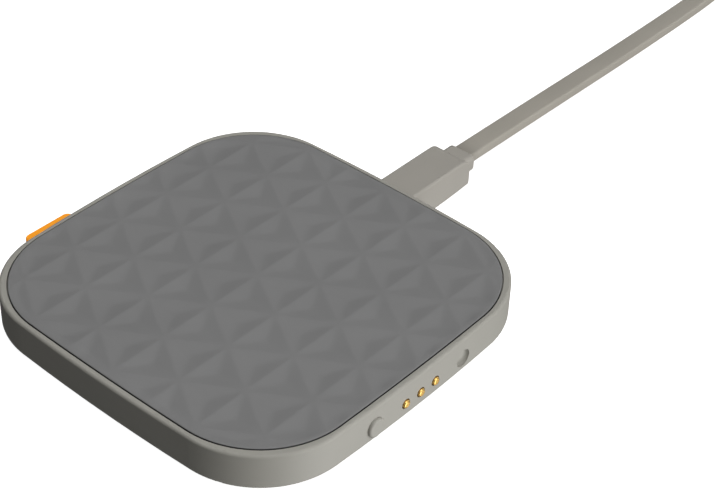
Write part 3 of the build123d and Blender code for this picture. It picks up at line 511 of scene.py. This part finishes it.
def close_mat(mesh):
    """Round the rim of the relief over to a wall and put a bottom in."""
    shape = bmesh.new()
    shape.from_mesh(mesh)
    bmesh.ops.remove_doubles(shape, verts=shape.verts, dist=0.00001)
    bmesh.ops.recalc_face_normals(shape, faces=shape.faces)
    rim = [e for e in shape.edges if e.is_boundary]
    profile = []
    for angle in SHOULDER_ANGLES:
        turn = radians(angle)
        profile.append((SHOULDER * (1 - sin(turn)), MAT_TOP - SHOULDER * (1 - cos(turn))))
    profile.append((0.0, MAT_BOTTOM))
    for inset, z in profile:
        grown = bmesh.ops.extrude_edge_only(shape, edges=rim)["geom"]
        rim = [g for g in grown if isinstance(g, bmesh.types.BMEdge)]
        for v in {v for e in rim for v in e.verts}:
            depth, nx, ny = inside_by(v.co.x / MM, v.co.y / MM)
            v.co.x += nx * (depth - inset) * MM
            v.co.y += ny * (depth - inset) * MM
            v.co.z = z * MM
    bmesh.ops.contextual_create(shape, geom=rim)
    bmesh.ops.recalc_face_normals(shape, faces=shape.faces)
    bottom = max(shape.faces, key=lambda face: len(face.verts))
    for face in shape.faces:
        face.smooth = face is not bottom
    shape.to_mesh(mesh)
    shape.free()


# painted shade on the mat's upright edge, deepening the dark line of shade in the gap beside the mat
paint_edge_shade(MATERIALS["mat"], EDGE_PAINTED_SHADE)
mat = make_mat(MATERIALS["mat"])


# ---- strap around the coil ---------------------------------------------------------------------
STRAP_ANGLE = 100.0      # where it sits on the coil
STRAP_W = 9.0
STRAP_T = 0.6
STRAP_INNER = 23.85      # distance from the coil's middle to the loop's near and far sides
STRAP_OUTER = 33.2
STRAP_LOW = 0.62
STRAP_HIGH = 12.08
STRAP_BEND_R = 1.3
STRAP_LAP = 11.0         # length of the free end, which lies over the start of the loop
STRAP_STEPS = 6          # steps in each bend and along each side
STRAP_EDGE_SHARE = 0.42  # radius of its edges, as a share of its thickness
STRAP_EDGE_STEPS = 3
STRAP_RIBS = 350.0       # scale of the weave
STRAP_RIB_DEPTH = 0.1
LAP_LIFT = 1.55          # how far out the free end's middle lies, in strap thicknesses


def strap_path(outset):
    """The loop's outline, drawn out by outset, as (outward, height) points with even steps in each bend."""
    width = STRAP_OUTER - STRAP_INNER + 2 * outset
    height = STRAP_HIGH - STRAP_LOW + 2 * outset
    middle = ((STRAP_INNER + STRAP_OUTER) / 2, (STRAP_LOW + STRAP_HIGH) / 2)
    corners = rounded_rectangle(width, height, STRAP_BEND_R + outset, STRAP_STEPS)
    points = []
    for k, point in enumerate(corners):
        after = corners[(k + 1) % len(corners)]
        points.append(point)
        if (k + 1) % (STRAP_STEPS + 1) == 0:
            shares = [step / STRAP_STEPS for step in range(1, STRAP_STEPS)]
            points += [tuple(a + (b - a) * share for a, b in zip(point, after)) for share in shares]
    return [(middle[0] + x, middle[1] + z) for x, z in points]


def make_strap(material):
    """Woven strap, wound once around the bundle of turns with its free end lapped over the start."""
    close, lapped = strap_path(STRAP_T / 2), strap_path(STRAP_T * LAP_LIFT)
    start = len(close) // 4 - 2    # near the inner end of the top side
    loop = [close[(start + k) % len(close)] for k in range(len(close))]
    run = 0.0
    k = 0
    while run < STRAP_LAP:
        here = lapped[(start + k) % len(lapped)]
        run += sqrt((here[0] - loop[-1][0]) ** 2 + (here[1] - loop[-1][1]) ** 2)
        loop.append(here)
        k += 1
    turn = radians(STRAP_ANGLE)
    outward, across = Vector((cos(turn), sin(turn), 0)), Vector((-sin(turn), cos(turn), 0))
    origin = Vector((*COIL_CENTRE, 0))
    centres = [origin + outward * r + Vector((0, 0, z)) for r, z in loop]
    section = rounded_rectangle(STRAP_W, STRAP_T, STRAP_T * STRAP_EDGE_SHARE, STRAP_EDGE_STEPS)
    vertices = []
    for index, centre in enumerate(centres):
        ahead = centres[min(index + 1, len(centres) - 1)]
        behind = centres[max(index - 1, 0)]
        normal = (ahead - behind).normalized().cross(across)
        vertices += [centre + across * x + normal * y for x, y in section]
    return mesh_piece("tie_strap", vertices, swept_faces(len(centres), len(section)), material)


weave_of(MATERIALS["tie_fabric"], STRAP_RIBS, STRAP_RIB_DEPTH * MM)
strap = make_strap(MATERIALS["tie_fabric"])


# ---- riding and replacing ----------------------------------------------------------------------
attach(lead, "lead")
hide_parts("cable", "cable_coil", "cable_tail")
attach(mat, "pad")
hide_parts("top_mat")
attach(strap, "lead")
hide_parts("cable_tie")


# ---- floor and light ---------------------------------------------------------------------------
FLOOR_GLOW = 0.9
FLOOR_HALF = 3.0


def make_floor():
    """Pale paper that glows a little and lets the light below it through."""
    mesh = bpy.data.meshes.new("floor")
    corners = [(x * FLOOR_HALF, y * FLOOR_HALF, 0) for x, y in ((-1, -1), (1, -1), (1, 1), (-1, 1))]
    mesh.from_pydata(corners, [], [(0, 1, 2, 3)])
    floor = link("floor", mesh)
    material = bpy.data.materials.new("floor_paper")
    glow = (("Emission Color", (1.0, 1.0, 1.0, 1.0)), ("Emission Strength", FLOOR_GLOW))
    paper = linear((240, 240, 239))
    finish_of(material, paper, 0.9, mottle=0.004, mottle_scale=3.0, grain_depth=0.0, sockets=glow)
    mesh.materials.append(material)
    floor.visible_diffuse = False
    floor.visible_glossy = False
    floor.visible_shadow = False


def make_panel(name, azimuth, elevation, distance, width, height, strength):
    """Soft light panel facing the pad, in metres and watts; azimuth is in degrees from +X towards +Y."""
    data = bpy.data.lights.new(name, "AREA")
    data.shape = "RECTANGLE"
    data.size = width
    data.size_y = height
    data.energy = strength
    light = link(name, data)
    a, e = radians(azimuth), radians(elevation)
    towards = Vector((cos(a) * cos(e), sin(a) * cos(e), sin(e)))
    light.location = towards * distance
    light.rotation_euler = towards.to_track_quat("Z", "Y").to_euler()


def make_world(strength):
    """Even light from all around."""
    world = bpy.context.scene.world or bpy.data.worlds.new("world")
    bpy.context.scene.world = world
    world.use_nodes = True
    background = next(n for n in world.node_tree.nodes if n.type == "BACKGROUND")
    background.inputs["Color"].default_value = (1, 1, 1, 1)
    background.inputs["Strength"].default_value = strength


make_floor()
make_panel("side", 6, 40, 2.0, 1.2, 1.2, 15.0)
make_panel("bounce", 6, -22, 0.6, 0.5, 0.4, 2.4)
make_panel("top", 0, 90, 2.0, 1.4, 1.4, 16.0)
make_panel("back", 80, 25, 2.0, 1.2, 1.0, 4.5)
make_world(0.097)
bpy.context.scene.view_settings.view_transform = "Standard"
